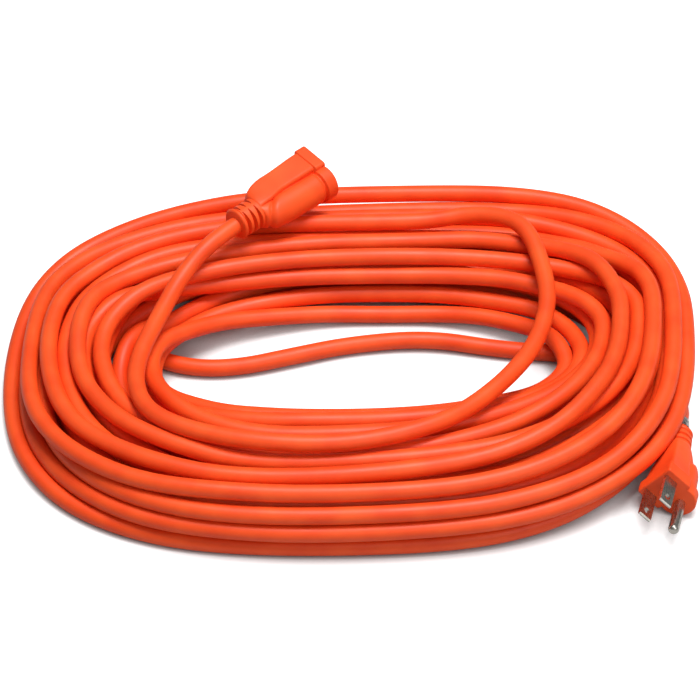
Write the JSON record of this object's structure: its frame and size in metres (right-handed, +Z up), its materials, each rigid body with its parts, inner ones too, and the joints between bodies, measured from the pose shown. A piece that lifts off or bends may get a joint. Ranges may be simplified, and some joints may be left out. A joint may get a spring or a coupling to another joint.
{
  "type": "extension cord",
  "caption": "Coiled flexible extension cord with a moulded three-prong plug at one end and a moulded three-hole connector at the other.",
  "frame": {"origin": "centre of the bounding box at the floor on which the coil lies", "axes": "+Z up, the coil's long way along X, the plug at +X with its pins towards -Y"},
  "size_m": [0.3194, 0.2179, 0.0583],
  "materials": {
    "jacket": "soft satin flexible vinyl",
    "moulding": "soft satin moulded vinyl",
    "label": "bare silvery foil band",
    "carrier": "hard inner moulding",
    "pins": "nickel-plated brass",
    "contacts": "bare sheet brass",
    "black_insulation": "vinyl",
    "white_insulation": "vinyl",
    "green_insulation": "vinyl",
    "copper": "stranded copper, shown as a solid core"
  },
  "bodies": {
    "root": {"cord_coil": "jacket", "connector_lead": "jacket", "plug_lead": "jacket", "cord_label": "label", "plug_shell": "moulding", "plug_carrier": "carrier", "plug_hot_blade": "pins", "plug_neutral_blade": "pins", "plug_ground_pin": "pins", "connector_shell": "moulding", "connector_carrier": "carrier", "connector_hot_contact": "contacts", "connector_neutral_contact": "contacts", "connector_ground_contact": "contacts", "plug_hot_insulation": "black_insulation", "plug_neutral_insulation": "white_insulation", "plug_ground_insulation": "green_insulation", "plug_hot_copper": "copper", "plug_neutral_copper": "copper", "plug_ground_copper": "copper", "connector_hot_insulation": "black_insulation", "connector_neutral_insulation": "white_insulation", "connector_ground_insulation": "green_insulation", "connector_hot_copper": "copper", "connector_neutral_copper": "copper", "connector_ground_copper": "copper"}
  },
  "joints": []
}
